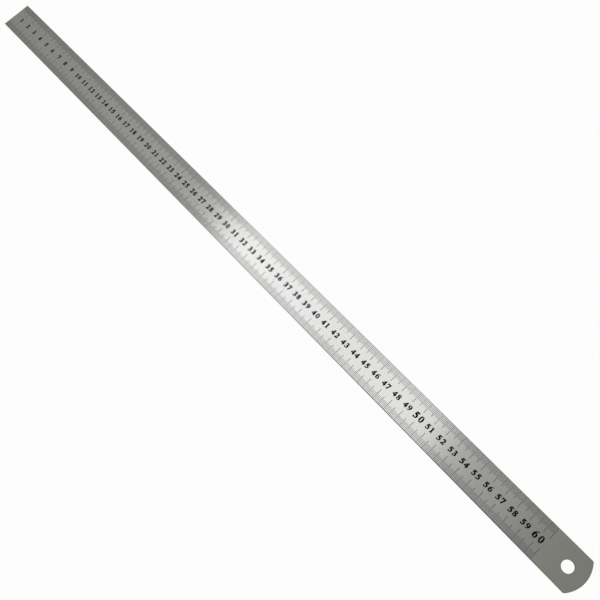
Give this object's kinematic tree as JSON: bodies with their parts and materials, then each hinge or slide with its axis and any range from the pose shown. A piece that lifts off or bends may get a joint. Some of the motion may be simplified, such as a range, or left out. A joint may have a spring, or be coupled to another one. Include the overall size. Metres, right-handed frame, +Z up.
{
  "type": "steel ruler",
  "caption": "Long flat metric steel ruler, square at the zero end and round at the other, with a hanging hole and engraved lines along both edges.",
  "frame": {"origin": "under the middle of the ruler's length and width, on the surface that it lies on", "axes": "+X along the ruler from the zero end to the round end, +Y across it to the edge that the tops of its numbers point to, +Z up out of the face that is read"},
  "size_m": [0.635, 0.026, 0.001],
  "materials": {
    "satin_stainless_steel": "satin, brushed along its length",
    "black_enamel": "semi-matt black, in the engraved lines and for the printed numbers"
  },
  "bodies": {
    "root": {"blade": "satin_stainless_steel"}
  },
  "joints": []
}
